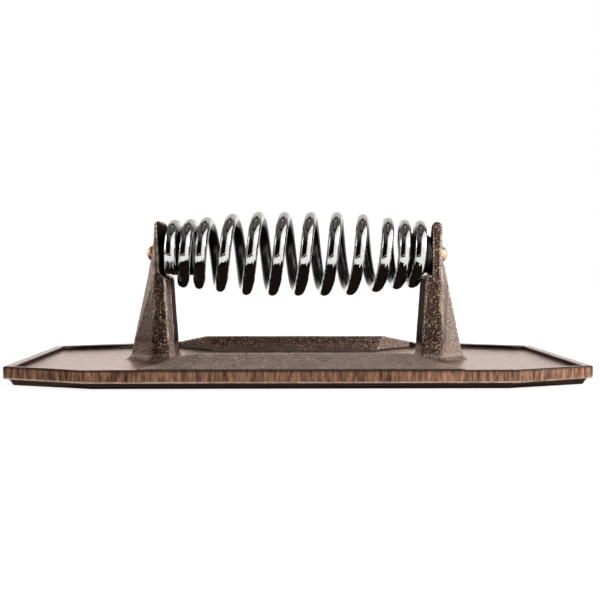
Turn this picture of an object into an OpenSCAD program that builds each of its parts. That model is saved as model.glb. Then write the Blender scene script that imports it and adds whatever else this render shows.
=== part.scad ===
// Cast-iron grill press with a coiled wire handle.
// +X runs along the handle, +Z points up, the origin is the centre of the pressing face.

/* [Plate] */
// Length of the plate over its two ends
plate_l = 230; // [190:5:280]
// Width of the plate over its two long sides
plate_w = 115; // [100:5:140]
// Length that each cut-off corner takes from a long side
corner_l = 33; // [15:1:45]
// Width that each cut-off corner takes from an end
corner_w = 14; // [8:1:25]
// Height of the drafted foot that carries the pressing face
foot_h = 2.5; // [1:0.5:4]
// Step from the flange's edge in to the top of the foot
foot_inset = 2; // [1:0.5:4]
// Extra inset of the pressing face, from the foot's draft
foot_draft = 1.5; // [0.5:0.5:3]
// Thickness of the flange, from its underside to the top of the rim
flange_t = 5; // [4:0.5:8]
// Depth of the floor below the top of the rim
recess_depth = 2; // [1:0.5:3]
// Width of the flat rim
rim_w = 3.5; // [2:0.5:6]
// Draft of the rim's inner wall
rim_draft = 0.7; // [0:0.1:1.5]

/* [Wing panels] */
// Length of each wing along the edge of the plate
wing_edge_l = 125; // [100:1:150]
// Length of each wing's crest
wing_crest_l = 86; // [60:1:96]
// Distance from the plate's edge to the crest
wing_run = 16; // [10:1:18]
// Height of the crest above the rim
wing_rise = 5; // [2:0.5:10]
// Width of the rounded top of the crest
crest_round = 0.8; // [0.4:0.1:1.5]
// Slope of the wing's inner wall, measured level
wall_slope = 1; // [0:0.5:3]
// Radius where the inner wall meets the floor
wall_fillet = 3; // [1:0.5:4]

/* [Handle posts] */
// Height of the handle's axis above the pressing face
axis_z = 51.5; // [46:0.5:70]
// Clear distance between the two post seats
post_gap = 115; // [100:0.5:130]
// Thickness of a post at its seat
post_t = 4.5; // [3.5:0.1:6]
// Thickness of a post just under its shoulder
ledge_t = 7.5; // [6.5:0.1:10]
// Thickness of a post at the floor, without its outer rib
post_foot_t = 9.6; // [8:0.1:13]
// Depth of a post from front to back at the handle's axis
post_d = 16; // [12:0.5:20]
// Depth of a post from front to back at the floor
post_foot_d = 19; // [14:0.5:24]
// Height of a post's tip above the handle's axis
tip_rise = 14; // [11:0.5:18]
// Distance of the ledge below the handle's axis
ledge_drop = 8.9; // [8.8:0.1:11]
// Height of the rounded shoulder from the ledge down to the thick part
shoulder_h = 3; // [1:0.1:4]
// Bevel along one inner corner of a post, below the shoulder
post_bevel = 2.4; // [1:0.1:3]
// How far that corner stands back from the seat at the ledge
seat_bevel = 1.4; // [0.5:0.1:2.4]
// How far that corner stands back from the seat at the tip
tip_bevel = 3; // [1:0.1:3]
// Depth over which the seat slopes away towards that corner at the tip
tip_relief_d = 13; // [3:0.5:13]
// How far the post's outer face leans in beside that corner at the tip
tip_lean = 0.7; // [0:0.1:0.8]
// Length of face that the rounding takes at a post's two outer corners
post_corner = 1.7; // [0.8:0.1:1.8]
// Rounding of the tip
tip_round = 2.1; // [1:0.1:2.2]
// Reach of the outer rib at the floor
rib_reach = 11; // [6:0.5:14]
// Height above the axis where the outer rib starts
rib_rise = 5; // [4.5:0.5:8]
// Crown of the post's outer face above the rib
rib_crown = 0.2; // [0.1:0.1:0.5]
// Radius where a post meets the floor
post_fillet = 3; // [1:0.5:4]

/* [Handle spring] */
// Diameter of the spring wire
wire_d = 5.2; // [4:0.1:5.6]
// Radius of the wire's centre line in the end turns
end_coil_r = 12.2; // [12:0.1:14]
// Radius of the wire's centre line in the middle turns
mid_coil_r = 15.8; // [14:0.1:18]
// Half length of the middle stretch that keeps its full radius
barrel_flat = 16; // [5:1:25]
// Number of turns whose tops show in a row
coil_tops = 12; // [10:1:13]
// Pitch of the end turns
end_pitch = 6.8; // [6.4:0.1:8]
// Number of close turns at each end
end_turns = 2.3; // [1.5:0.1:3]
// Share of a turn over which the pitch starts at each end
closed_turn = 0.3; // [0.1:0.1:0.4]
// Gap between each end of the coil and its post
coil_gap = 0.8; // [0.3:0.1:2]
// Angle below the level at which the wire leaves its turn
end_angle = 15; // [5:1:30]

/* [Handle fixings] */
// Radius of the screw shank
screw_r = 2.5; // [2:0.1:3]
// Radius of the domed screw head
head_r = 3.8; // [3.5:0.1:5]
// Height of the domed screw head
head_h = 3.2; // [2.5:0.1:3.5]
// Width of the driver slot
slot_w = 1.2; // [0.8:0.1:1.6]
// Depth of the driver slot
slot_depth = 1.5; // [0.8:0.1:2]
// Thickness of the spacer between post and plug
spacer_t = 2.5; // [1.5:0.1:4]
// Radius of the spacer
spacer_r = 8.2; // [7:0.1:8.7]
// Length of the end plug inside the end turns
plug_l = 10; // [8:0.5:14]
// Edge break of the plug and the spacer
edge_break = 0.5; // [0.2:0.1:1]
// Clearance between the spring and what it seats on
seat_clear = 0.3; // [0.2:0.05:0.5]
// Radial clearance of the screw in the plug's tapped hole
thread_clear = 0.05; // [0.02:0.01:0.09]
// Radial clearance of the screw in the drilled post
hole_clear = 0.25; // [0.15:0.05:0.5]

/* [Hidden] */
$fn = 64;
iron = [0.23, 0.19, 0.17];
stainless = [0.80, 0.80, 0.80];
steel = [0.35, 0.34, 0.33];
zinc = [0.55, 0.55, 0.54];
brass = [0.78, 0.60, 0.30];

rim_z = foot_h + flange_t;
floor_z = rim_z - recess_depth;
crest_z = rim_z + wing_rise;
crest_y = plate_w / 2 - wing_run;
seat_x = post_gap / 2;
outer_x = seat_x + post_t;
ledge_z = axis_z - ledge_drop;
shoulder_z = ledge_z - shoulder_h;
ledge_inner_x = outer_x - ledge_t;
rib_top_z = axis_z + rib_rise;
tip_z = axis_z + tip_rise;
bury = 1;
over = 2;
spot_r = head_r + 0.5;
spot_x = outer_x + 0.2;

plug_r = end_coil_r - wire_d / 2 - seat_clear;
plug_x = seat_x - spacer_t - plug_l;
screw_end_x = plug_x + 1.5;
dome_steps = 10;

rings = 24;
sides = 6;
end_run = wire_d;
sweep = (coil_tops - 1) * 360 + 2 * (90 + end_angle);
turns = sweep / 360;
coil_half_l = seat_x - coil_gap - wire_d / 2;
pitch_blend = 0.8;
end_travel = end_pitch * (end_turns - closed_turn / 2);
mid_pitch = (coil_half_l - end_travel) / (turns / 2 - end_turns);

// An octagon with long sides along X, drawn in from the plate's outline by inset.
function octagon(inset) =
    let (
        x = plate_l / 2 - inset,
        y = plate_w / 2 - inset,
        diagonal = norm([corner_l, corner_w]),
        cut_x = corner_l + inset * (corner_l - diagonal + corner_w) / corner_w - inset,
        cut_y = corner_w + inset * (corner_w - diagonal + corner_l) / corner_l - inset
    )
    [
        [x, cut_y - y], [x, y - cut_y], [x - cut_x, y], [cut_x - x, y],
        [-x, y - cut_y], [-x, cut_y - y], [cut_x - x, -y], [x - cut_x, -y]
    ];

// A closed solid through level sections that all have the same number of points.
module loft(levels, outlines) {
    n = len(outlines[0]);
    last = len(levels) - 1;
    points = [for (k = [0:last]) for (p = outlines[k]) [p[0], p[1], levels[k]]];
    walls = [
        for (k = [0:last - 1]) for (i = [0:n - 1])
            let (a = k * n + i, b = k * n + (i + 1) % n)
            each [[a, b + n, b], [a, a + n, b + n]]
    ];
    lower = [for (i = [0:n - 1]) i];
    upper = [for (i = [n - 1:-1:0]) last * n + i];
    polyhedron(points = points, faces = concat([lower], walls, [upper]), convexity = 4);
}

// Share of the way from a to b at which z lies.
function share(z, a, b) = (z - a) / (b - a);
function mix(a, b, s) = a + (b - a) * s;

// Half the depth of a post at height z.
function half_depth(z) = mix(post_foot_d, post_d, share(z, floor_z, axis_z)) / 2;

// How far the outer rib reaches at height z.
function rib_x(z) = outer_x + rib_reach * max(0, share(z, rib_top_z, floor_z));

// Rounded corner at c, from the face towards a to the face towards b, as four points.
function rounded(a, c, b, length) =
    let (
        from = c + length * (a - c) / norm(a - c),
        to = c + length * (b - c) / norm(b - c)
    )
    [for (s = [0:3]) let (t = s / 3) pow(1 - t, 2) * from + 2 * t * (1 - t) * c + t * t * to];

// Section of the right post, grown outward by grow, thinned inward by trim.
function post_section(z, inner_x, grow = 0, trim = 0) =
    let (
        d = half_depth(z) + grow - trim,
        in_x = inner_x - grow + trim,
        out_x = outer_x + grow / 2 - trim,
        rib = [max(rib_x(z), outer_x + rib_crown) + grow - trim, 0],
        on_seat = max(0, share(inner_x, ledge_inner_x, seat_x)),
        up_seat = max(0, share(z, ledge_z, tip_z)),
        t = out_x - in_x,
        bevel = min(mix(post_bevel, mix(seat_bevel, tip_bevel, up_seat), on_seat), 0.68 * t),
        relief = min(mix(post_bevel, tip_relief_d, on_seat * up_seat), 1.8 * d),
        lean = min(tip_lean, 0.2 * t) * max(0, share(z, axis_z, tip_z)),
        thin_in_x = in_x + bevel,
        thin_out_x = out_x - lean,
        corner = min(post_corner, 0.45 * t),
        thin_corner = min(post_corner, 0.45 * (thin_out_x - thin_in_x))
    )
    concat(
        rounded([in_x, -d], [out_x, -d], rib, corner), [rib],
        rounded(rib, [thin_out_x, d], [thin_in_x, d], thin_corner),
        [[thin_in_x, d], [in_x, d - relief], [in_x, -d]]
    );

// Inner face of the post below its shoulder.
function lower_inner_x(z) = mix(outer_x - post_foot_t, ledge_inner_x, share(z, floor_z, shoulder_z));

module right_post() {
    // A fillet at the floor, the shoulder, and the rounded tip, as [height, inner face, grow, trim].
    sections = concat(
        [[floor_z - bury, lower_inner_x(floor_z), post_fillet, 0]],
        [
            for (a = [15:25:90])
                let (z = floor_z + post_fillet * (1 - cos(a)))
                [z, lower_inner_x(z), post_fillet * (1 - sin(a)), 0]
        ],
        [
            for (a = [0:22.5:90])
                [shoulder_z + shoulder_h * sin(a), mix(seat_x, ledge_inner_x, cos(a)), 0, 0]
        ],
        [[rib_top_z, seat_x, 0, 0]],
        [for (a = [0, 30, 60, 80]) [tip_z - tip_round * (1 - sin(a)), seat_x, 0, tip_round * (1 - cos(a))]]
    );
    loft([for (s = sections) s[0]], [for (s = sections) post_section(s[0], s[1], s[2], s[3])]);
}

// Section of a wing across the plate, with its fillet at the floor.
module wing_profile() {
    wall_y = crest_y - crest_round - wall_slope;
    fillet = [
        for (a = [0:15:90])
            [wall_y - wall_fillet * (1 - cos(a)), floor_z + wall_fillet * (1 - sin(a))]
    ];
    polygon(concat(
        [
            [plate_w / 2, foot_h + bury], [plate_w / 2, rim_z],
            [crest_y + crest_round, crest_z - crest_round * wing_rise / wing_run],
            [crest_y, crest_z], [crest_y - crest_round, crest_z - crest_round]
        ],
        [for (i = [0:len(fillet) - 1]) let (s = fillet[i]) [s[0], s[1]]],
        [[wall_y - wall_fillet, foot_h + bury]]
    ));
}

// Rear wing; the front one is the same, turned half round.
module wing() {
    reach = crest_round + wall_slope + wall_fillet;
    narrowing = (wing_edge_l - wing_crest_l) / 2 / wing_run;
    inner_half = wing_crest_l / 2 - reach * narrowing;
    intersection() {
        rotate([90, 0, 90])
            linear_extrude(height = wing_edge_l, center = true) wing_profile();
        linear_extrude(height = crest_z + over)
            polygon([
                [-wing_edge_l / 2, plate_w / 2], [wing_edge_l / 2, plate_w / 2],
                [inner_half, crest_y - reach], [-inner_half, crest_y - reach]
            ]);
    }
}

// A cylinder along +X from x0 to x1 on the handle's axis.
module on_axis(x0, x1, r) {
    translate([x0, 0, axis_z]) rotate([0, 90, 0]) cylinder(r = r, h = x1 - x0);
}

module press_casting() {
    color(iron) difference() {
        union() {
            loft([0, foot_h], [octagon(foot_inset + foot_draft), octagon(foot_inset)]);
            difference() {
                translate([0, 0, foot_h]) linear_extrude(height = flange_t) polygon(octagon(0));
                loft([floor_z, rim_z + bury], [octagon(rim_w + rim_draft), octagon(rim_w)]);
            }
            for (turn = [0, 180]) rotate([0, 0, turn]) {
                wing();
                right_post();
            }
        }
        for (turn = [0, 180]) rotate([0, 0, turn]) {
            on_axis(seat_x - over, outer_x + rib_reach, screw_r + hole_clear);
            on_axis(spot_x, outer_x + rib_reach, spot_r);
        }
    }
}

// Integral of a smooth step from 0 to 1 over the unit interval.
function eased(s) = s < 0 ? 0 : s > 1 ? s - 0.5 : pow(s, 3) - pow(s, 4) / 2;

// Distance that the wire has travelled along the axis, v turns after its end.
function travel(v) =
    end_pitch * closed_turn * eased(v / closed_turn)
    + (mid_pitch - end_pitch) * pitch_blend * eased((v - end_turns) / pitch_blend + 0.5);

// Place along X of the wire, v turns after its left end.
function coil_x(v) = v <= turns / 2 ? travel(v) - coil_half_l : coil_half_l - travel(turns - v);

// Radius of the coil at a place along X.
function smooth(s) = s < 0 ? 0 : s > 1 ? 1 : s * s * (3 - 2 * s);
function coil_r(x) =
    mix(mid_coil_r, end_coil_r, smooth(share(abs(x), barrel_flat, coil_half_l)));

// Point of the left-hand helix; the wire starts low at the front and rises there.
function coil_point(v) =
    let (x = coil_x(v), r = coil_r(x), a = v * 360 - end_angle)
    [x, -r * cos(a), axis_z + r * sin(a)];

function unit(p) = p / norm(p);
steps = ceil(turns * rings);
coil = [for (i = [0:steps]) coil_point(turns * i / steps)];
left_way = unit(coil[0] - coil[1]);
right_way = unit(coil[steps] - coil[steps - 1]);
path = concat([coil[0] + left_way * end_run], coil, [coil[steps] + right_way * end_run]);

// Ring of the tube at path point i, turned so that one side faces along X.
function tube_ring(i) =
    let (
        n = len(path) - 1,
        way = unit(path[min(i + 1, n)] - path[max(i - 1, 0)]),
        side = unit(cross(way, cross([1, 0, 0], way))),
        up = cross(way, side)
    )
    [for (k = [0:sides - 1]) let (a = 360 * k / sides) path[i] + wire_d / 2 * (cos(a) * side + sin(a) * up)];

// Least gap between points of the wire that lie half a turn or more apart.
self_gap = min([
    for (i = [0:2:steps]) for (j = [i + rings / 2:1:min(steps, i + rings * 3 / 2)])
        norm(coil[i] - coil[j])
]) - wire_d;
echo(str("least gap of the handle spring to itself: ", self_gap, " mm"));

module handle_spring() {
    count = len(path);
    points = [for (i = [0:count - 1]) each tube_ring(i)];
    walls = [
        for (i = [0:count - 2]) for (k = [0:sides - 1])
            let (a = i * sides + k, b = i * sides + (k + 1) % sides)
            each [[a, b, b + sides], [a, b + sides, a + sides]]
    ];
    first_cap = [for (k = [1:sides - 2]) [0, k + 1, k]];
    last_base = (count - 1) * sides;
    last_cap = [for (k = [1:sides - 2]) [last_base, last_base + k, last_base + k + 1]];
    color(stainless) polyhedron(points = points, faces = concat(walls, first_cap, last_cap), convexity = 10);
}

// Outline of a turned disc from x0 to x1 with broken edges, for a turn about the X axis.
module turned(x0, x1, r, bore_r) {
    translate([0, 0, axis_z]) rotate([0, 90, 0]) rotate_extrude()
        polygon([
            [bore_r, x0], [r - edge_break, x0], [r, x0 + edge_break],
            [r, x1 - edge_break], [r - edge_break, x1], [bore_r, x1]
        ]);
}

module spacer() {
    color(zinc) turned(seat_x - spacer_t, seat_x, spacer_r, screw_r + hole_clear);
}

module end_plug() {
    color(steel) turned(plug_x, seat_x - spacer_t, plug_r, screw_r + thread_clear);
}

// Round-headed slotted screw, turned in one piece; its head sits on the post's spot face.
module dome_screw() {
    dome_r = (head_r * head_r + head_h * head_h) / (2 * head_h);
    rise = acos(1 - head_h / dome_r);
    dome = [
        for (i = [0:dome_steps])
            let (a = rise * (1 - i / dome_steps))
            [dome_r * sin(a), spot_x + head_h - dome_r * (1 - cos(a))]
    ];
    color(brass) difference() {
        translate([0, 0, axis_z]) rotate([0, 90, 0]) rotate_extrude()
            polygon(concat(
                [[0, screw_end_x], [screw_r - edge_break, screw_end_x]],
                [[screw_r, screw_end_x + edge_break], [screw_r, spot_x]],
                dome
            ));
        translate([spot_x + head_h - slot_depth, -slot_w / 2, axis_z - head_r - over])
            cube([slot_depth + over, slot_w, 2 * (head_r + over)]);
    }
}

// The left-hand pieces are the right-hand ones, turned half round.
module left_side() {
    rotate([0, 0, 180]) children();
}

press_casting();
handle_spring();
left_side() spacer();  // left_spacer
spacer();  // right_spacer
left_side() end_plug();  // left_end_plug
end_plug();  // right_end_plug
left_side() dome_screw();  // left_dome_screw
dome_screw();  // right_dome_screw
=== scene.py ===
# Cast-iron grill press with a coiled wire handle.
# Metres throughout; +X runs along the handle, the camera looks along +Y, the press stands on z = 0.
import math

import bmesh
import bpy
import numpy as np
from mathutils import Matrix, Vector, noise


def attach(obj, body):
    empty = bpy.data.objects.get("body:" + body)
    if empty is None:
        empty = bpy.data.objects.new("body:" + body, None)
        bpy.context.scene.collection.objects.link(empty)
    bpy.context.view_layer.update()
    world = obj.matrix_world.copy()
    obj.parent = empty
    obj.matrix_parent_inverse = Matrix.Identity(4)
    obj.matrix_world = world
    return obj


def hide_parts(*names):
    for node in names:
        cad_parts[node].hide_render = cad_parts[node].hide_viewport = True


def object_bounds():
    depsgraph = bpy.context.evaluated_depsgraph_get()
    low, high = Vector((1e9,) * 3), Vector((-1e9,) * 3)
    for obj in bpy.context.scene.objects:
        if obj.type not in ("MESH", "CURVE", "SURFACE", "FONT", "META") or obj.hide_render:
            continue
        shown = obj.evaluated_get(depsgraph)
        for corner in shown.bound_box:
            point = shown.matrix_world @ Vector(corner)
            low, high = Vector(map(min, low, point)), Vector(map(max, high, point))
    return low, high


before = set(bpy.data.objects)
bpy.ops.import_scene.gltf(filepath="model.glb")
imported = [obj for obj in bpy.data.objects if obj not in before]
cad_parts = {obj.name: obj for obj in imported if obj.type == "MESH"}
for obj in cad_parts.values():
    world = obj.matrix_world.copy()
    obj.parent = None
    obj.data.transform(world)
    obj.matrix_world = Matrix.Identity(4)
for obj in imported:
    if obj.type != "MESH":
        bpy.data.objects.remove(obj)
cad_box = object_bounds()
scene = bpy.context.scene
scene.view_settings.view_transform = "Standard"


# ---------------------------------------------------------------------------------------------
# Camera: a normal lens about 40 cm in front of the handle, a little below its height and a
# centimetre to the left of its middle, near enough that the far coils open up beside the near ones.
camera_place = Vector((-0.01104, -0.39382, 0.04736))
camera_yaw = math.radians(1.738)
camera_pitch = math.radians(2.314)
camera_roll = math.radians(0.112)
film_mm = 36
lens_mm = 54.21
nearest_seen = 0.01

ahead = Vector((
    math.sin(camera_yaw) * math.cos(camera_pitch),
    math.cos(camera_yaw) * math.cos(camera_pitch),
    -math.sin(camera_pitch),
))
level_right = Vector((math.cos(camera_yaw), -math.sin(camera_yaw), 0))
level_up = level_right.cross(ahead)
right = math.cos(camera_roll) * level_right + math.sin(camera_roll) * level_up
up = math.cos(camera_roll) * level_up - math.sin(camera_roll) * level_right

lens = bpy.data.cameras.new("camera")
lens.sensor_width = film_mm
lens.lens = lens_mm
lens.clip_start = nearest_seen
camera = bpy.data.objects.new("camera", lens)
turn = Matrix((right, up, -ahead)).transposed().to_4x4()
camera.matrix_world = Matrix.Translation(camera_place) @ turn
scene.collection.objects.link(camera)
scene.camera = camera


# ---------------------------------------------------------------------------------------------
# Surround: even white all round, as in a light tent. It looks pure white to the eye, and lights
# the press a little less, so that the iron keeps its brown.
tent_white = "#ffffff"
surround_seen = 1.0
surround_light = 0.62


def linear(code):
    """Turns an sRGB hex colour into the linear RGBA that the shaders take."""
    steps = [int(code[i:i + 2], 16) / 255 for i in (1, 3, 5)]
    return [s / 12.92 if s <= 0.04045 else ((s + 0.055) / 1.055) ** 2.4 for s in steps] + [1.0]


# Sockets without a name of their own go by number. A Map Range takes its value at 0 and runs it
# from 1 and 2 to 3 and 4. A Mix takes numbers at 2 and 3, or colours at 6 and 7, which leave by 2.
def add_node(tree, kind, inputs=(), **settings):
    """Adds a node with its settings; each input takes a value or another node's socket."""
    made = tree.nodes.new("ShaderNode" + kind)
    for name, value in settings.items():
        setattr(made, name, value)
    for key, value in dict(inputs).items():
        if isinstance(value, bpy.types.NodeSocket):
            tree.links.new(value, made.inputs[key])
        else:
            made.inputs[key].default_value = value
    return made


world = bpy.data.worlds.new("surround")
scene.world = world
world.use_nodes = True
tree = world.node_tree
tree.nodes.clear()
path = add_node(tree, "LightPath")
seen = add_node(
    tree, "Math", {0: path.outputs["Is Camera Ray"], 1: path.outputs["Is Glossy Ray"]},
    operation="MAXIMUM",
)
seen = add_node(
    tree, "Math", {0: seen.outputs[0], 1: path.outputs["Is Transmission Ray"]},
    operation="MAXIMUM",
)
lit = add_node(tree, "Background", {"Color": linear(tent_white), "Strength": surround_light})
shown = add_node(tree, "Background", {"Color": linear(tent_white), "Strength": surround_seen})
either = add_node(tree, "MixShader", {0: seen.outputs[0], 1: lit.outputs[0], 2: shown.outputs[0]})
add_node(tree, "OutputWorld", {"Surface": either.outputs[0]})


# ---------------------------------------------------------------------------------------------
# Table: a flat white top that runs out of sight. To the eye and in the polish it glows nearly
# white and keeps the press's soft shadow; for all other light it is white paint.
table_half = 40.0
table_drop = 0.0001
table_white = "#f4f3f2"
table_shade = "#8f8e8d"
table_glow = 0.84
square = ((-1, -1), (1, -1), (1, 1), (-1, 1))


def new_material(name):
    """Makes an empty node material and returns it with its tree."""
    made = bpy.data.materials.new(name)
    made.use_nodes = True
    made.node_tree.nodes.clear()
    return made, made.node_tree


def mesh_object(name, points, faces):
    """Makes an object from points and faces, and links it."""
    mesh = bpy.data.meshes.new(name)
    mesh.from_pydata([tuple(p) for p in points], [], [tuple(f) for f in faces])
    mesh.validate()
    made = bpy.data.objects.new(name, mesh)
    scene.collection.objects.link(made)
    return made


table = mesh_object("table", [(x * table_half, y * table_half, -table_drop) for x, y in square], [range(4)])
table_paint, tree = new_material("white_table")
path = add_node(tree, "LightPath")
seen = add_node(
    tree, "Math", {0: path.outputs["Is Camera Ray"], 1: path.outputs["Is Glossy Ray"]},
    operation="MAXIMUM",
)
paint = add_node(tree, "BsdfDiffuse", {"Color": linear(table_white)})
glow = add_node(tree, "Emission", {"Color": linear(tent_white), "Strength": table_glow})
shade = add_node(tree, "BsdfDiffuse", {"Color": linear(table_shade)})
bright = add_node(tree, "AddShader", {0: glow.outputs[0], 1: shade.outputs[0]})
both = add_node(tree, "MixShader", {0: seen.outputs[0], 1: paint.outputs[0], 2: bright.outputs[0]})
add_node(tree, "OutputMaterial", {"Surface": both.outputs[0]})
table.data.materials.append(table_paint)


# ---------------------------------------------------------------------------------------------
# Room: a dome round the table that shows only in polish, as bright wire is lit to get its dark
# cores. It is black in front and at the left, with a black ring high up, white at the back and
# grey elsewhere.
room_r = 4.0
room_eye_z = 0.05
room_foot = -0.6
room_columns = 72
room_rows = 24
room_black = "#100e0d"
room_grey = "#666462"
room_back_low = "#ffffff"
room_back_high = "#cfccc8"

# Bearings from the front and heights above the eye, in degrees, each with how softly it ends.
front_sides = (-100, 8)
front_soft = (6.0, 8.0)
front_fade = (32.0, 58.0)
ring_heights = (62, 70)
ring_soft = (1.5, 1.5)
back_sides = (137, 212)
back_soft = (9.0, 9.0)
back_fade = (50.0, 60.0)
back_blend = (10.0, 34.0)


def only_in_polish(made):
    """Keeps a studio card out of sight and out of the light, but not out of reflections."""
    made.visible_camera = False
    made.visible_diffuse = False
    made.visible_shadow = False
    made.visible_transmission = False


def between(tree, value, ends, soft):
    """A mask of where value lies between its two ends, each as soft as given."""
    rise = add_node(
        tree, "MapRange", {0: value, 1: ends[0] - soft[0], 2: ends[0] + soft[0]},
        interpolation_type="SMOOTHSTEP",
    )
    fall = add_node(
        tree, "MapRange", {0: value, 1: ends[1] - soft[1], 2: ends[1] + soft[1], 3: 1.0, 4: 0.0},
        interpolation_type="SMOOTHSTEP",
    )
    return add_node(tree, "Math", {0: rise.outputs[0], 1: fall.outputs[0]}, operation="MULTIPLY").outputs[0]


points = []
for i in range(room_rows):
    rise = math.radians(room_foot + (90 - room_foot) * i / room_rows)
    for j in range(room_columns):
        bearing = 2 * math.pi * j / room_columns
        points.append((
            room_r * math.cos(rise) * math.sin(bearing),
            -room_r * math.cos(rise) * math.cos(bearing),
            room_eye_z + room_r * math.sin(rise),
        ))
points.append((0, 0, room_eye_z + room_r))
faces = []
for i in range(room_rows - 1):
    for j in range(room_columns):
        here, beside = i * room_columns + j, i * room_columns + (j + 1) % room_columns
        faces.append((here, beside, beside + room_columns, here + room_columns))
top_row = (room_rows - 1) * room_columns
for j in range(room_columns):
    faces.append((top_row + j, top_row + (j + 1) % room_columns, len(points) - 1))
room = mesh_object("room", points, faces)
only_in_polish(room)

room_paint, tree = new_material("room_walls")
place = add_node(tree, "NewGeometry")
split = add_node(tree, "SeparateXYZ", {0: place.outputs["Position"]})
toward = add_node(tree, "Math", {0: split.outputs[1], 1: -1.0}, operation="MULTIPLY")
bearing = add_node(tree, "Math", {0: split.outputs[0], 1: toward.outputs[0]}, operation="ARCTAN2")
bearing = add_node(tree, "Math", {0: bearing.outputs[0]}, operation="DEGREES")
behind = add_node(tree, "Math", {0: bearing.outputs[0], 1: 0.0}, operation="LESS_THAN")
round_trip = add_node(
    tree, "Math", {0: behind.outputs[0], 1: 360.0, 2: bearing.outputs[0]}, operation="MULTIPLY_ADD",
)
height = add_node(
    tree, "MapRange",
    {0: split.outputs[2], 1: room_eye_z - room_r, 2: room_eye_z + room_r, 3: -1.0, 4: 1.0},
)
height = add_node(tree, "Math", {0: height.outputs[0]}, operation="ARCSINE")
height = add_node(tree, "Math", {0: height.outputs[0]}, operation="DEGREES")
front = between(tree, bearing.outputs[0], front_sides, front_soft)
front_low = add_node(
    tree, "MapRange", {0: height.outputs[0], 1: front_fade[0], 2: front_fade[1], 3: 1.0, 4: 0.0},
)
front = add_node(tree, "Math", {0: front, 1: front_low.outputs[0]}, operation="MULTIPLY")
ring = between(tree, height.outputs[0], ring_heights, ring_soft)
dark = add_node(tree, "Math", {0: front.outputs[0], 1: ring}, operation="MAXIMUM")
back = between(tree, round_trip.outputs[0], back_sides, back_soft)
back_low = add_node(
    tree, "MapRange", {0: height.outputs[0], 1: back_fade[0], 2: back_fade[1], 3: 1.0, 4: 0.0},
)
back = add_node(tree, "Math", {0: back, 1: back_low.outputs[0]}, operation="MULTIPLY")
back_rise = add_node(tree, "MapRange", {0: height.outputs[0], 1: back_blend[0], 2: back_blend[1]})
back_colour = add_node(
    tree, "Mix", {0: back_rise.outputs[0], 6: linear(room_back_low), 7: linear(room_back_high)},
    data_type="RGBA",
)
walls = add_node(
    tree, "Mix", {0: dark.outputs[0], 6: linear(room_grey), 7: linear(room_black)}, data_type="RGBA",
)
walls = add_node(
    tree, "Mix", {0: back.outputs[0], 6: walls.outputs[2], 7: back_colour.outputs[2]}, data_type="RGBA",
)
matte = add_node(tree, "Emission", {"Color": walls.outputs[2], "Strength": 1.0})
add_node(tree, "OutputMaterial", {"Surface": matte.outputs[0]})
room.data.materials.append(room_paint)


# ---------------------------------------------------------------------------------------------
# Panels: a large white panel at the right with a grey border, and a small pale one at the left.
# Both are upright, and draw bright bands down the sides of the wire.
panel_white = "#fbfaf9"
panel_border = "#9b9894"
panel_pale = "#dcdad6"


def flat_paint(name, colour, strength=1.0):
    """A material that shows one colour whatever light falls on it."""
    made, tree = new_material(name)
    matte = add_node(tree, "Emission", {"Color": linear(colour), "Strength": strength})
    add_node(tree, "OutputMaterial", {"Surface": matte.outputs[0]})
    return made


def panel(name, colour, strength, middle, distance, sides, top, bottom=0.0):
    """An upright panel square to one bearing, from side to side in degrees and up to a height."""
    bearing = math.radians(middle)
    out = Vector((math.sin(bearing), -math.cos(bearing), 0))
    over = Vector((math.cos(bearing), math.sin(bearing), 0))
    reach = [distance * math.tan(math.radians(side - middle)) for side in sides]
    foot = room_eye_z + distance * math.tan(math.radians(bottom)) if bottom else 0.0
    crown = room_eye_z + distance * math.tan(math.radians(top))
    corners = ((reach[0], foot), (reach[1], foot), (reach[1], crown), (reach[0], crown))
    made = mesh_object(name, [out * distance + over * x + Vector((0, 0, z)) for x, z in corners], [range(4)])
    only_in_polish(made)
    made.data.materials.append(flat_paint(name, colour, strength))


panel("panel_right", panel_white, 1.15, middle=50, distance=1.1, sides=(13, 118), top=57)
panel("panel_right_edge", panel_border, 1.0, middle=50, distance=1.101, sides=(4, 118), top=57)
panel("panel_left", panel_pale, 1.0, middle=-84, distance=1.2, sides=(-149, -84), top=32, bottom=2)


# ---------------------------------------------------------------------------------------------
# Cards: dark sheets flat on the table, which the lower halves of the wire and the near faces mirror.
# The one along the near edge and the left end of the plate is painted shadow, standing for the
# press's shadow on the table; the one well in front is black card.
card_z = 0.0004
table_cards = {
    "painted_shadow_card_near": (
        (0.045, -0.0595), (-0.09, -0.0595), (-0.119, -0.048), (-0.119, 0.10), (-0.40, 0.12),
        (-0.15, -0.115), (0.045, -0.112),
    ),
    "black_card_far": ((0.18, -0.38), (-1.5, -0.38), (-1.5, -1.5), (0.18, -1.5)),
}
black_card_and_shadow = flat_paint("black_card_and_shadow", room_black)
for name, outline in table_cards.items():
    card = mesh_object(name, [(x, y, card_z) for x, y in outline], [range(len(outline))])
    only_in_polish(card)
    card.data.materials.append(black_card_and_shadow)

# The underside of the coil mirrors the plate in its own deep shade. This card over the plate is
# dark from above and clear from below, so the plate's own polish never meets it.
shade_half = (0.100, 0.056)
shade_z = 0.0138
plate_shade = "#1c1613"
shade_card = mesh_object(
    "black_card_plate", [(x * shade_half[0], y * shade_half[1], shade_z) for x, y in square], [range(4)],
)
only_in_polish(shade_card)
shade_paint, tree = new_material("shade_over_plate")
sides = add_node(tree, "NewGeometry")
dark_side = add_node(tree, "Emission", {"Color": linear(plate_shade), "Strength": 1.0})
clear_side = add_node(tree, "BsdfTransparent")
one_sided = add_node(
    tree, "MixShader", {0: sides.outputs["Backfacing"], 1: dark_side.outputs[0], 2: clear_side.outputs[0]},
)
add_node(tree, "OutputMaterial", {"Surface": one_sided.outputs[0]})
shade_card.data.materials.append(shade_paint)


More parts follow.
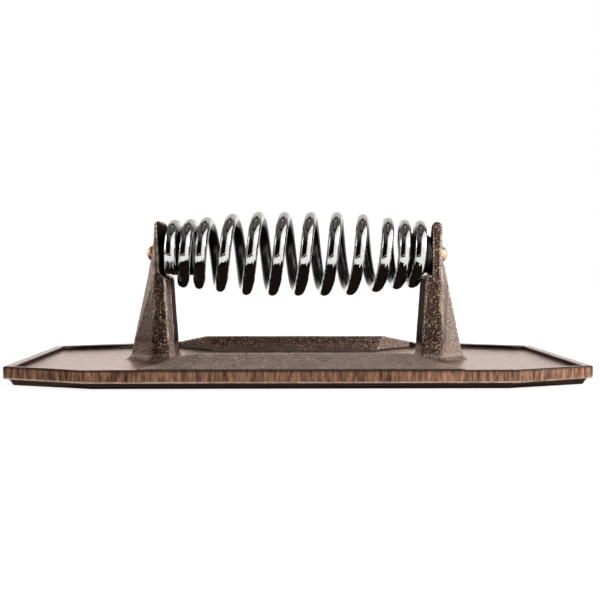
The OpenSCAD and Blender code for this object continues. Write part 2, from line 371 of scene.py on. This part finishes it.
# ---------------------------------------------------------------------------------------------
# Lamps: soft boxes that shape the casting. The strongest stands in front at the right, two weaker
# ones stand behind at both sides, and a very faint one hangs overhead.


def softbox(name, place, aim, size, power):
    """A square area lamp at place that faces aim."""
    lamp = bpy.data.lights.new(name, "AREA")
    lamp.shape = "SQUARE"
    lamp.size = size
    lamp.energy = power
    made = bpy.data.objects.new(name, lamp)
    made.location = place
    made.rotation_euler = (Vector(aim) - Vector(place)).to_track_quat("-Z", "Y").to_euler()
    scene.collection.objects.link(made)


middle_of_press = (0.0, 0.0, 0.03)
softbox("key_right", place=(0.95, -0.55, 0.45), aim=middle_of_press, size=0.7, power=8.5)
softbox("rim_right", place=(1.05, 0.25, 0.30), aim=middle_of_press, size=0.5, power=2.2)
softbox("fill_left", place=(-1.05, 0.42, 0.36), aim=middle_of_press, size=0.4, power=1.6)
softbox("lamp_overhead", place=(0.10, 0.25, 1.25), aim=(0.0, 0.0, 0.0), size=0.16, power=0.06)


# ---------------------------------------------------------------------------------------------
# Press casting: plate, wings and both posts poured in one piece of grey iron. The skin keeps the
# grain of the sand, the flange's edge is ground by hand, and the whole is seasoned brown with oil.
plate_l = cad_box[1][0] - cad_box[0][0]
plate_w = cad_box[1][1] - cad_box[0][1]
corner_l = 0.033
corner_w = 0.014
foot_h = 0.0025

# The mesh is drawn anew in even squares, fine enough to carry the grain and the grinding.
weld_reach = 1e-6
grid_step = 0.00055
ease_share = 0.5
ease_passes = 2

# Moulding sand is a quarter of a millimetre across, and the marks of a coarse belt lie half a
# millimetre apart; both are drawn about three times as coarse, so that they show.
sand_grain = 0.0007
sand_wave = 3 * sand_grain
sand_depth = 0.00003
speck_pitch = 0.0008
sweep_pitch = 0.018
sweep_depth = 0.00010
grind_pitch = 0.0015
grind_run = 0.012
grind_seed = 3.7
grind_depth = 0.00010

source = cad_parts["press_casting"]
casting = bpy.data.objects.new("press_casting_skin", source.data.copy())
scene.collection.objects.link(casting)
work = bmesh.new()
work.from_mesh(casting.data)
bmesh.ops.remove_doubles(work, verts=work.verts, dist=weld_reach)
work.to_mesh(casting.data)
work.free()
regrid = casting.modifiers.new("regrid", "REMESH")
regrid.mode = "VOXEL"
regrid.voxel_size = grid_step
ease = casting.modifiers.new("ease", "SMOOTH")
ease.factor = ease_share
ease.iterations = ease_passes
bpy.context.view_layer.update()
skin_mesh = bpy.data.meshes.new_from_object(casting.evaluated_get(bpy.context.evaluated_depsgraph_get()))
casting.modifiers.clear()
casting.data = skin_mesh
casting.data.name = "press_casting_skin"

count = len(skin_mesh.vertices)
at = np.zeros(count * 3)
skin_mesh.vertices.foreach_get("co", at)
at = at.reshape(-1, 3)
facing = np.zeros(count * 3)
skin_mesh.vertices.foreach_get("normal", facing)
facing = facing.reshape(-1, 3)


def ramp(values, start, full):
    """Smooth step of values from 0 at start to 1 at full, whichever of the two is higher."""
    s = np.clip((values - start) / (full - start), 0, 1)
    return s * s * (3 - 2 * s)


# How far each point of the skin stands out from its neighbours, for rubbed, partly highlit edges
# and the nooks painted with shade.
edge_ends = np.zeros(len(skin_mesh.edges) * 2, np.int32)
skin_mesh.edges.foreach_get("vertices", edge_ends)
edge_ends = edge_ends.reshape(-1, 2)
around = np.zeros((count, 3))
for this_end, other_end in ((0, 1), (1, 0)):
    np.add.at(around, edge_ends[:, this_end], at[edge_ends[:, other_end]])
around /= np.maximum(np.bincount(edge_ends.ravel(), minlength=count), 1)[:, None]
sharpness = np.einsum("ij,ij->i", at - around, facing) / grid_step

# How far inside the plate's outline each point lies, and its place along that outline. The ends,
# the corners and the rear half start at places of their own, so that neighbours differ.
end_place = 1.3
corner_place = 2.6
rear_place = 0.7
diagonal = math.hypot(corner_l, corner_w)
across = np.abs(at[:, :2])
to_end = plate_l / 2 - across[:, 0]
to_side = plate_w / 2 - across[:, 1]
to_corner = (to_end * corner_w + (to_side - corner_w) * corner_l) / diagonal
inside = np.minimum(np.minimum(to_end, to_side), to_corner)
slant = (across[:, 0] * corner_l - across[:, 1] * corner_w) / diagonal
along = np.where(
    inside == to_side, at[:, 0],
    np.where(inside == to_end, end_place + at[:, 1], corner_place + slant),
)
along += np.where(at[:, 1] > 0, rear_place, 0.0)

# The masks of the finish. Each pair is where a mask starts and where it is full, by the distance
# inside the outline, the height above the table, or the share of a face that looks one way.
# Only the flange's upright edge is ground, from the foot's step to the top.
ground_inside = (0.0011, 0.0005)
ground_above = (foot_h - 0.0002, foot_h + 0.0003)
ground_level = (0.75, 0.35)
height = at[:, 2].copy()
levelness = np.abs(facing[:, 2])
ground = ramp(inside, *ground_inside) * ramp(height, *ground_above) * ramp(levelness, *ground_level)

# The skin is lifted by the sand's grain and the mould's slow waves, and the ground edge by its
# marks. The pressing face stays flat.
foot_top = (foot_h - 0.0006, foot_h + 0.0004)
sand = np.array([noise.fractal(Vector(p) / sand_wave, 1.0, 2.0, 3) for p in at])
sweep = np.array([noise.noise(Vector(p) / sweep_pitch) for p in at])
marks = np.array([
    noise.noise(Vector((a / grind_pitch, z / grind_run, grind_seed))) for a, z in zip(along, height)
])
off_foot = ramp(height, *foot_top)
as_cast = sand * sand_depth + sweep * sweep_depth
lift = off_foot * (as_cast * (1 - ground) + marks * grind_depth * ground)
at += facing * lift[:, None]
skin_mesh.vertices.foreach_set("co", at.ravel())

# The posts' faces toward the coil, and the rim's inner wall and upper edge, lie in shade; this
# mask paints them dark as painted shade.
post_coil_side = (0.80, 0.95)
post_above = (0.010, 0.014)
rim_below = (0.010, 0.009)
rim_wall_outer = (0.0026, 0.0032)
rim_wall_inner = (0.0052, 0.0042)
rim_wall_level = (0.9, 0.6)
rim_edge_inside = (0.0012, 0.0007)
rim_edge_above = (0.0064, 0.0071)
rim_edge_share = 0.8
height = at[:, 2]
toward_coil = -np.sign(at[:, 0]) * facing[:, 0]
shaded_faces = ramp(toward_coil, *post_coil_side) * ramp(height, *post_above)
rim_wall = ramp(inside, *rim_wall_outer) * ramp(inside, *rim_wall_inner) * ramp(levelness, *rim_wall_level)
rim_edge = rim_edge_share * ramp(inside, *rim_edge_inside) * ramp(height, *rim_edge_above)
shaded_faces = np.maximum(shaded_faces, np.maximum(rim_wall, rim_edge) * ramp(height, *rim_below))

# Upward: the plate's and wings' level faces. Broad: the posts' and wings' faces to front and rear.
upward_level = (0.60, 0.92)
upward_below = (0.020, 0.014)
broad_sideways = (0.90, 0.985)
broad_above = (0.0085, 0.0095)
sideways = np.abs(facing[:, 1])
upward = ramp(facing[:, 2], *upward_level) * ramp(height, *upward_below)
broad = ramp(sideways, *broad_sideways) * ramp(height, *broad_above)

# Hands rub the posts' edges bright, less at the tip than below it, and the grill rubs the flange's
# lower edge. That bright colour is partly wear and partly painted highlight.
handled_above = (0.013, 0.016)
handled_sideways = (0.25, 0.45)
tip_below = (0.0615, 0.0585)
tip_rubbed = 0.3
post_rubbed = 1.2
low_edge_inside = (0.0022, 0.0012)
low_edge_below = (0.0050, 0.0042)
low_edge_rubbed = 0.6
handled = ramp(height, *handled_above) * ramp(sideways, *handled_sideways)
handled *= tip_rubbed + (post_rubbed - tip_rubbed) * ramp(height, *tip_below)
handled += low_edge_rubbed * ramp(inside, *low_edge_inside) * ramp(height, *low_edge_below)
sharpness *= np.where(sharpness > 0, handled, 1.0)

masks = {
    "ground": ground, "along": along, "sharpness": sharpness,
    "shaded_faces": shaded_faces, "upward": upward, "broad": broad,
}
for name, values in masks.items():
    layer = skin_mesh.attributes.new(name, "FLOAT", "POINT")
    layer.data.foreach_set("value", values.astype(np.float32))
skin_mesh.polygons.foreach_set("use_smooth", [True] * len(skin_mesh.polygons))
skin_mesh.update()

# Seasoned cast iron: the sand mould leaves a grain, and oil baked on in many coats turns it brown
# and leaves a thin glossy film. It mirrors softly where it lies level and sparkles where it stands;
# part of that sparkle, and of its light and shade, is painted into its colour.
skin_brown = "#85604b"
skin_dark = "#301f17"
skin_pale = "#8f7262"
top_light_colour = "#e6d0c1"
painted_glint = "#f0cdb0"
painted_shade_brown = "#150b07"
foot_shade = "#21150f"
ground_light = "#c08d6f"
ground_dark = "#4a2c1e"
worn_metal_highlight = "#f0d8c0"
film_tint = "#ffdccd"
iron, tree = new_material("seasoned_cast_iron")
spot = add_node(tree, "TexCoord")
here = spot.outputs["Object"]
split = add_node(tree, "SeparateXYZ", {0: here})
ground_mask = add_node(tree, "Attribute", attribute_name="ground")
mark_along = add_node(tree, "Attribute", attribute_name="along")
sharp = add_node(tree, "Attribute", attribute_name="sharpness")
inner = add_node(tree, "Attribute", attribute_name="shaded_faces")
top = add_node(tree, "Attribute", attribute_name="upward")
upright = add_node(tree, "Attribute", attribute_name="broad")

# The skin runs from dark to brown with the sand's grain, and has paler stains of 5 mm.
stain_size = 0.005
grain = add_node(
    tree, "TexNoise", {"Vector": here, "Scale": 1 / sand_grain, "Detail": 3.0, "Roughness": 0.6},
)
stain = add_node(
    tree, "TexNoise", {"Vector": here, "Scale": 1 / stain_size, "Detail": 3.0, "Roughness": 0.6},
)
tone = add_node(tree, "ValToRGB", {0: grain.outputs[0]})
tone.color_ramp.elements[0].position = 0.38
tone.color_ramp.elements[0].color = linear(skin_dark)
tone.color_ramp.elements[1].position = 0.62
tone.color_ramp.elements[1].color = linear(skin_brown)
pale = add_node(tree, "MapRange", {0: stain.outputs[0], 1: 0.45, 2: 0.75, 3: 0.0, 4: 0.35})
skin = add_node(
    tree, "Mix", {0: pale.outputs[0], 6: tone.outputs[0], 7: linear(skin_pale)}, data_type="RGBA",
)

# The upright faces are painted darker, as painted shade. Pale dots on the tips of the grains are
# painted glints, most of all on those faces.
side_shade = add_node(tree, "MapRange", {0: upright.outputs["Fac"], 3: 0.0, 4: 0.45})
skin = add_node(
    tree, "Mix", {0: side_shade.outputs[0], 6: skin.outputs[2], 7: linear(painted_shade_brown)}, data_type="RGBA",
)
speck = add_node(tree, "TexVoronoi", {"Vector": here, "Scale": 1 / speck_pitch})
chance = add_node(tree, "SeparateColor", {0: speck.outputs["Color"]})
chance = add_node(tree, "MapRange", {0: chance.outputs[0], 1: 0.15, 2: 0.85})
most = add_node(tree, "MapRange", {0: upright.outputs["Fac"], 3: 0.30, 4: 0.95})
glints = add_node(
    tree, "MapRange", {0: speck.outputs["Distance"], 1: 0.22, 2: 0.46, 3: most.outputs[0], 4: 0.0},
)
glints = add_node(tree, "Math", {0: glints.outputs[0], 1: chance.outputs[0]}, operation="MULTIPLY")
skin = add_node(
    tree, "Mix", {0: glints.outputs[0], 6: skin.outputs[2], 7: linear(painted_glint)}, data_type="RGBA",
)

# The faces that look up are painted paler, in flecks and patches, as painted light on the tops.
fleck = add_node(tree, "MapRange", {0: grain.outputs[0], 1: 0.40, 2: 0.60, 3: 0.60, 4: 1.0})
patch = add_node(tree, "MapRange", {0: stain.outputs[0], 1: 0.35, 2: 0.65, 3: 0.50, 4: 0.80})
top_light = add_node(tree, "Math", {0: top.outputs["Fac"], 1: fleck.outputs[0]}, operation="MULTIPLY")
top_light = add_node(tree, "Math", {0: top_light.outputs[0], 1: patch.outputs[0]}, operation="MULTIPLY")
skin = add_node(
    tree, "Mix", {0: top_light.outputs[0], 6: skin.outputs[2], 7: linear(top_light_colour)}, data_type="RGBA",
)

# Grinding marks stand upright on the flange's edge, as the belt ran across it.
streak_run = 0.011
mark_at = add_node(tree, "CombineXYZ", {0: mark_along.outputs["Fac"], 1: split.outputs[2]})
squeeze = add_node(
    tree, "VectorMath", {0: mark_at.outputs[0], 1: (1 / grind_pitch, 1 / streak_run, 1)},
    operation="MULTIPLY",
)
mark = add_node(
    tree, "TexNoise", {"Vector": squeeze.outputs[0], "Scale": 1.0, "Detail": 5.0, "Roughness": 0.68},
)
mark_tone = add_node(tree, "ValToRGB", {0: mark.outputs[0]})
mark_tone.color_ramp.elements[0].position = 0.37
mark_tone.color_ramp.elements[0].color = linear(ground_dark)
mark_tone.color_ramp.elements[1].position = 0.64
mark_tone.color_ramp.elements[1].color = linear(ground_light)
edge = add_node(
    tree, "Mix", {0: ground_mask.outputs["Fac"], 6: skin.outputs[2], 7: mark_tone.outputs[0]},
    data_type="RGBA",
)

# The foot under the flange is cast smooth with a draft, and is painted darker as shade under the flange.
low = add_node(
    tree, "MapRange", {0: split.outputs[2], 1: foot_h + 0.0003, 2: foot_h - 0.0003, 3: 0.0, 4: 1.0},
)
footed = add_node(
    tree, "Mix", {0: low.outputs[0], 6: edge.outputs[2], 7: linear(foot_shade)}, data_type="RGBA",
)

# Nooks and shaded faces are painted dark as painted shade. Handling rubs the sharp edges back to
# bright metal, which also paints the highlight that runs along them.
rub_start, rub_full = 0.026, 0.062
nook_start, nook_full = 0.03, 0.10
rub = add_node(tree, "MapRange", {0: sharp.outputs["Fac"], 1: rub_start, 2: rub_full, 3: 0.0, 4: 0.9})
rub_break = add_node(tree, "MapRange", {0: stain.outputs[0], 1: 0.35, 2: 0.6, 3: 0.35, 4: 1.0})
worn_highlight = add_node(tree, "Math", {0: rub.outputs[0], 1: rub_break.outputs[0]}, operation="MULTIPLY")
shaded_nooks = add_node(tree, "MapRange", {0: sharp.outputs["Fac"], 1: -nook_start, 2: -nook_full, 3: 0.0, 4: 0.85})
shaded_nooks = add_node(tree, "Math", {0: shaded_nooks.outputs[0], 1: inner.outputs["Fac"]}, operation="MAXIMUM")
with_nook_shade = add_node(
    tree, "Mix", {0: shaded_nooks.outputs[0], 6: footed.outputs[2], 7: linear(painted_shade_brown)}, data_type="RGBA",
)
colour = add_node(
    tree, "Mix", {0: worn_highlight.outputs[0], 6: with_nook_shade.outputs[2], 7: linear(worn_metal_highlight)}, data_type="RGBA",
)

# Baked oil leaves the skin half polished, in soft clouds of 22 mm, and worn spots are as bright as
# its best. Ground iron is satin, and the nooks painted with shade are dead matt.
cloud_size = 0.022
skin_roughness = (0.23, 0.31)
worn_roughness = 0.24
ground_roughness = 0.42
nook_roughness = 0.85
skin_metallic = 0.95
ground_metallic = 0.45
cloud = add_node(
    tree, "TexNoise", {"Vector": here, "Scale": 1 / cloud_size, "Detail": 4.0, "Roughness": 0.55},
)
dull = add_node(
    tree, "MapRange", {0: cloud.outputs[0], 1: 0.3, 2: 0.7, 3: skin_roughness[0], 4: skin_roughness[1]},
)
dull = add_node(tree, "Mix", {0: worn_highlight.outputs[0], 2: dull.outputs[0], 3: worn_roughness}, data_type="FLOAT")
dull = add_node(
    tree, "Mix", {0: ground_mask.outputs["Fac"], 2: dull.outputs[0], 3: ground_roughness},
    data_type="FLOAT",
)
dull = add_node(tree, "Mix", {0: shaded_nooks.outputs[0], 2: dull.outputs[0], 3: nook_roughness}, data_type="FLOAT")
metal = add_node(
    tree, "Mix", {0: ground_mask.outputs["Fac"], 2: skin_metallic, 3: ground_metallic}, data_type="FLOAT",
)

# The sand's grain stands a fifth of a millimetre high, less where oil has filled the level faces.
grain_height = 0.00020
film_grain_height = 0.00008
mark_height = 0.0006
relief = add_node(tree, "MapRange", {0: top.outputs["Fac"], 3: 1.1, 4: 0.7})
grit = add_node(
    tree, "MapRange", {0: grain.outputs[0], 1: 0.46, 2: 0.72}, interpolation_type="SMOOTHSTEP",
)
grains = add_node(tree, "Math", {0: grit.outputs[0], 1: relief.outputs[0]}, operation="MULTIPLY")
grain_bumps = add_node(
    tree, "Bump", {"Height": grains.outputs[0], "Strength": 1.0, "Distance": grain_height},
)
ground_marks = add_node(
    tree, "Math", {0: mark.outputs[0], 1: ground_mask.outputs["Fac"]}, operation="MULTIPLY",
)
mark_bumps = add_node(tree, "Bump", {
    "Height": ground_marks.outputs[0], "Strength": 0.8, "Distance": mark_height,
    "Normal": grain_bumps.outputs[0],
})
film_bumps = add_node(
    tree, "Bump", {"Height": grains.outputs[0], "Strength": 1.0, "Distance": film_grain_height},
)

# The film of oil is whole on the plate, thin on the upright faces, and nearly gone on the foot,
# where the iron is ground and in the nooks painted with shade. The index of baked oil is near 1.5;
# a film of that index would be lost over the metal, so it is set higher.
film_ior = 2.1
film_roughness = 0.26
film_left = 0.08
bare = add_node(tree, "Math", {0: shaded_nooks.outputs[0], 1: low.outputs[0]}, operation="MAXIMUM")
bare = add_node(tree, "Math", {0: bare.outputs[0], 1: ground_mask.outputs["Fac"]}, operation="MAXIMUM")
bare = add_node(tree, "MapRange", {0: bare.outputs[0], 3: 1.0, 4: film_left})
wet = add_node(tree, "MapRange", {0: top.outputs["Fac"], 3: 0.72, 4: 1.0})
baked = add_node(tree, "MapRange", {0: upright.outputs["Fac"], 3: 1.0, 4: 0.2})
wet = add_node(tree, "Math", {0: wet.outputs[0], 1: baked.outputs[0]}, operation="MULTIPLY")
wet = add_node(tree, "Math", {0: wet.outputs[0], 1: fleck.outputs[0]}, operation="MULTIPLY")
film = add_node(tree, "Math", {0: bare.outputs[0], 1: wet.outputs[0]}, operation="MULTIPLY")
surface = add_node(tree, "BsdfPrincipled", {
    "Base Color": colour.outputs[2],
    "Metallic": metal.outputs[0],
    "Roughness": dull.outputs[0],
    "Normal": mark_bumps.outputs[0],
    "Specular Tint": linear(film_tint),
    "Coat Weight": film.outputs[0],
    "Coat Roughness": film_roughness,
    "Coat IOR": film_ior,
    "Coat Normal": film_bumps.outputs[0],
})
add_node(tree, "OutputMaterial", {"Surface": surface.outputs[0]})
casting.data.materials.clear()
casting.data.materials.append(iron)
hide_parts("press_casting")
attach(casting, "press")


# ---------------------------------------------------------------------------------------------
# Handle spring: one length of drawn stainless wire, wound left-handed into a barrel, its end
# turns close together and its ends cut square, then tumbled bright.
axis_z = 0.0515
seat_x = 0.0575
coil_gap = 0.0008
wire_d = 0.0052
end_coil_r = 0.0122
mid_coil_r = 0.0158
barrel_flat = 0.016
coil_tops = 12
end_pitch = 0.0068
end_turns = 2.3
closed_turn = 0.3
end_angle = math.radians(15)
pitch_blend = 0.8
wire_sides = 28
rings_a_turn = 90
cut_edge = 0.00035

turns = ((coil_tops - 1) * 2 * math.pi + 2 * (math.pi / 2 + end_angle)) / (2 * math.pi)
coil_half_l = seat_x - coil_gap - wire_d / 2
end_travel = end_pitch * (end_turns - closed_turn / 2)
mid_pitch = (coil_half_l - end_travel) / (turns / 2 - end_turns)


def eased(s):
    """Integral of a smooth step over the unit interval."""
    return 0.0 if s < 0 else s - 0.5 if s > 1 else s ** 3 - s ** 4 / 2


def travel(v):
    """How far the wire has gone along the axis, v turns after its end."""
    return (end_pitch * closed_turn * eased(v / closed_turn)
            + (mid_pitch - end_pitch) * pitch_blend * eased((v - end_turns) / pitch_blend + 0.5))


def coil_point(v):
    """Centre of the wire, v turns after its left end."""
    x = travel(v) - coil_half_l if v <= turns / 2 else coil_half_l - travel(turns - v)
    s = min(max((abs(x) - barrel_flat) / (coil_half_l - barrel_flat), 0), 1)
    r = mid_coil_r + (end_coil_r - mid_coil_r) * s * s * (3 - 2 * s)
    a = v * 2 * math.pi - end_angle
    return Vector((x, -r * math.cos(a), axis_z + r * math.sin(a)))


# The wire runs straight for its own thickness past each end of the coil.
steps = math.ceil(turns * rings_a_turn)
centres = [coil_point(turns * i / steps) for i in range(steps + 1)]
first_way = (centres[0] - centres[1]).normalized()
last_way = (centres[-1] - centres[-2]).normalized()
centres = (
    [centres[0] + first_way * wire_d, centres[0] + first_way * wire_d / 2]
    + centres
    + [centres[-1] + last_way * wire_d / 2, centres[-1] + last_way * wire_d]
)
last = len(centres) - 1
ways = [(centres[min(i + 1, last)] - centres[max(i - 1, 0)]).normalized() for i in range(last + 1)]
points, faces = [], []


def wire_ring(centre, way, radius):
    """A ring of the wire round centre, square to way, with its first point toward +X."""
    side = way.cross(Vector((1, 0, 0)).cross(way)).normalized()
    lift = way.cross(side)
    for k in range(wire_sides):
        a = 2 * math.pi * k / wire_sides
        points.append(centre + radius * (math.cos(a) * side + math.sin(a) * lift))


# A small ring and a full one a broken edge apart at each end, and full rings between.
wire_r = wire_d / 2
wire_ring(centres[0], ways[0], wire_r - cut_edge)
wire_ring(centres[0] + ways[0] * cut_edge, ways[0], wire_r)
for centre, way in zip(centres[1:last], ways[1:last]):
    wire_ring(centre, way, wire_r)
wire_ring(centres[last] - ways[last] * cut_edge, ways[last], wire_r)
wire_ring(centres[last], ways[last], wire_r - cut_edge)
ring_count = last + 3
for i in range(ring_count - 1):
    for k in range(wire_sides):
        a, b = i * wire_sides + k, i * wire_sides + (k + 1) % wire_sides
        faces.append((a, b, b + wire_sides, a + wire_sides))
faces.append(range(wire_sides - 1, -1, -1))
faces.append(range((ring_count - 1) * wire_sides, ring_count * wire_sides))
spring = mesh_object("handle_spring_wire", points, faces)
mesh = spring.data
mesh.polygons.foreach_set("use_smooth", [len(p.vertices) == 4 for p in mesh.polygons])

# Each point keeps its place along the wire, and round it: turned toward +X, lifted into the coil.
spans = [(centres[i + 1] - centres[i]).length for i in range(last)]
reached = np.concatenate([[0], np.cumsum(spans)])
reached = np.concatenate([[reached[0]], reached, [reached[-1]]])
round_wire = 2 * np.pi * np.arange(wire_sides) / wire_sides
wire_places = {
    "run": np.repeat(reached, wire_sides),
    "turned": np.tile(np.cos(round_wire), ring_count),
    "lifted": np.tile(np.sin(round_wire), ring_count),
}
for name, values in wire_places.items():
    layer = mesh.attributes.new(name, "FLOAT", "POINT")
    layer.data.foreach_set("value", values.astype(np.float32))

# Stainless steel wire, drawn through a die and tumbled: nearly a mirror, with faint long lines
# that follow the wire. The side that faces into the coil is painted dark and made duller: painted
# shade for the inside of the coil.
wire_dim = "#cfcdca"
wire_bright = "#e9e8e6"
wire_inner_shade = "#262423"
wire_roughness = (0.05, 0.12)
inside_roughness = 0.30
inner_shade_share = 0.88
line_run = 0.02
lines_round = 9.0
line_depth = 0.00008
haze_size = 0.006
stainless, tree = new_material("tumbled_stainless_wire")
run_in = add_node(tree, "Attribute", attribute_name="run")
turned_in = add_node(tree, "Attribute", attribute_name="turned")
lifted_in = add_node(tree, "Attribute", attribute_name="lifted")
place = add_node(tree, "CombineXYZ", {
    0: run_in.outputs["Fac"], 1: turned_in.outputs["Fac"], 2: lifted_in.outputs["Fac"],
})
drawn_at = add_node(
    tree, "VectorMath", {0: place.outputs[0], 1: (1 / line_run, lines_round, lines_round)},
    operation="MULTIPLY",
)
lines = add_node(
    tree, "TexNoise", {"Vector": drawn_at.outputs[0], "Scale": 1.0, "Detail": 4.0, "Roughness": 0.7},
)
spot = add_node(tree, "TexCoord")
haze = add_node(
    tree, "TexNoise", {"Vector": spot.outputs["Object"], "Scale": 1 / haze_size, "Detail": 3.0},
)
polish = add_node(
    tree, "MapRange", {0: haze.outputs[0], 1: 0.35, 2: 0.7, 3: wire_roughness[0], 4: wire_roughness[1]},
)
tint = add_node(tree, "ValToRGB", {0: lines.outputs[0]})
tint.color_ramp.elements[0].position = 0.3
tint.color_ramp.elements[0].color = linear(wire_dim)
tint.color_ramp.elements[1].position = 0.7
tint.color_ramp.elements[1].color = linear(wire_bright)
# Painted shade on the side of the wire that faces into the coil.
inner_shade = add_node(
    tree, "MapRange", {0: lifted_in.outputs["Fac"], 1: 0.0, 2: 0.28, 3: 0.0, 4: inner_shade_share},
)
colour = add_node(
    tree, "Mix", {0: inner_shade.outputs[0], 6: tint.outputs[0], 7: linear(wire_inner_shade)}, data_type="RGBA",
)
dull = add_node(
    tree, "Mix", {0: inner_shade.outputs[0], 2: polish.outputs[0], 3: inside_roughness}, data_type="FLOAT",
)
bumps = add_node(tree, "Bump", {"Height": lines.outputs[0], "Strength": 0.12, "Distance": line_depth})
surface = add_node(tree, "BsdfPrincipled", {
    "Base Color": colour.outputs[2],
    "Metallic": 1.0,
    "Roughness": dull.outputs[0],
    "Normal": bumps.outputs[0],
})
add_node(tree, "OutputMaterial", {"Surface": surface.outputs[0]})
mesh.materials.append(stainless)
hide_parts("handle_spring")
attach(spring, "press")


# ---------------------------------------------------------------------------------------------
# Spacers: steel discs on the two screws, one between each post and its end plug.
# Zinc-plated steel gone dull: patchy grey, with the shine of satin.
zinc_dark = "#2b2927"
zinc_light = "#55524e"
zinc_roughness = (0.35, 0.55)
zinc_patch = 0.003
plated, tree = new_material("dull_zinc_plate")
spot = add_node(tree, "TexCoord")
haze = add_node(
    tree, "TexNoise", {"Vector": spot.outputs["Object"], "Scale": 1 / zinc_patch, "Detail": 4.0},
)
tint = add_node(tree, "ValToRGB", {0: haze.outputs[0]})
tint.color_ramp.elements[0].color = linear(zinc_dark)
tint.color_ramp.elements[1].color = linear(zinc_light)
polish = add_node(
    tree, "MapRange", {0: haze.outputs[0], 1: 0.3, 2: 0.7, 3: zinc_roughness[0], 4: zinc_roughness[1]},
)
surface = add_node(tree, "BsdfPrincipled", {
    "Base Color": tint.outputs[0], "Metallic": 0.9, "Roughness": polish.outputs[0],
})
add_node(tree, "OutputMaterial", {"Surface": surface.outputs[0]})
for name in ("left_spacer", "right_spacer"):
    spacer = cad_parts[name]
    spacer.data.materials.clear()
    spacer.data.materials.append(plated)


# ---------------------------------------------------------------------------------------------
# End plugs: steel rounds inside the end turns, tapped for the screws, which centre the coil.
# Plain steel, turned and oiled: dark, with rings from the lathe. This scale of wave draws them
# 0.8 mm apart, coarser than the real feed.
steel_dark = "#1d1b1a"
steel_light = "#3b3835"
lathe_scale = 0.0025
turned_steel, tree = new_material("turned_oiled_steel")
spot = add_node(tree, "TexCoord")
rings = add_node(
    tree, "TexWave", {"Vector": spot.outputs["Object"], "Scale": 1 / lathe_scale, "Distortion": 0.6},
    wave_type="BANDS", bands_direction="X",
)
tint = add_node(tree, "ValToRGB", {0: rings.outputs["Fac"]})
tint.color_ramp.elements[0].color = linear(steel_dark)
tint.color_ramp.elements[1].color = linear(steel_light)
surface = add_node(tree, "BsdfPrincipled", {
    "Base Color": tint.outputs[0], "Metallic": 0.9, "Roughness": 0.4,
})
add_node(tree, "OutputMaterial", {"Surface": surface.outputs[0]})
for name in ("left_end_plug", "right_end_plug"):
    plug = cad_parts[name]
    plug.data.materials.clear()
    plug.data.materials.append(turned_steel)


# ---------------------------------------------------------------------------------------------
# Dome screws: slotted brass screws that pass through the posts into the end plugs.
# Brass, turned and polished, then dulled a little by the kitchen: warm yellow with a soft shine.
brass_deep = "#bd9468"
brass_pale = "#e6c8a0"
brass_roughness = (0.28, 0.42)
brass_patch = 0.002
brass, tree = new_material("polished_brass")
spot = add_node(tree, "TexCoord")
haze = add_node(
    tree, "TexNoise", {"Vector": spot.outputs["Object"], "Scale": 1 / brass_patch, "Detail": 4.0},
)
tint = add_node(tree, "ValToRGB", {0: haze.outputs[0]})
tint.color_ramp.elements[0].color = linear(brass_deep)
tint.color_ramp.elements[1].color = linear(brass_pale)
polish = add_node(
    tree, "MapRange", {0: haze.outputs[0], 1: 0.3, 2: 0.7, 3: brass_roughness[0], 4: brass_roughness[1]},
)
surface = add_node(tree, "BsdfPrincipled", {
    "Base Color": tint.outputs[0], "Metallic": 1.0, "Roughness": polish.outputs[0],
})
add_node(tree, "OutputMaterial", {"Surface": surface.outputs[0]})
for name in ("left_dome_screw", "right_dome_screw"):
    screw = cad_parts[name]
    screw.data.materials.clear()
    screw.data.materials.append(brass)
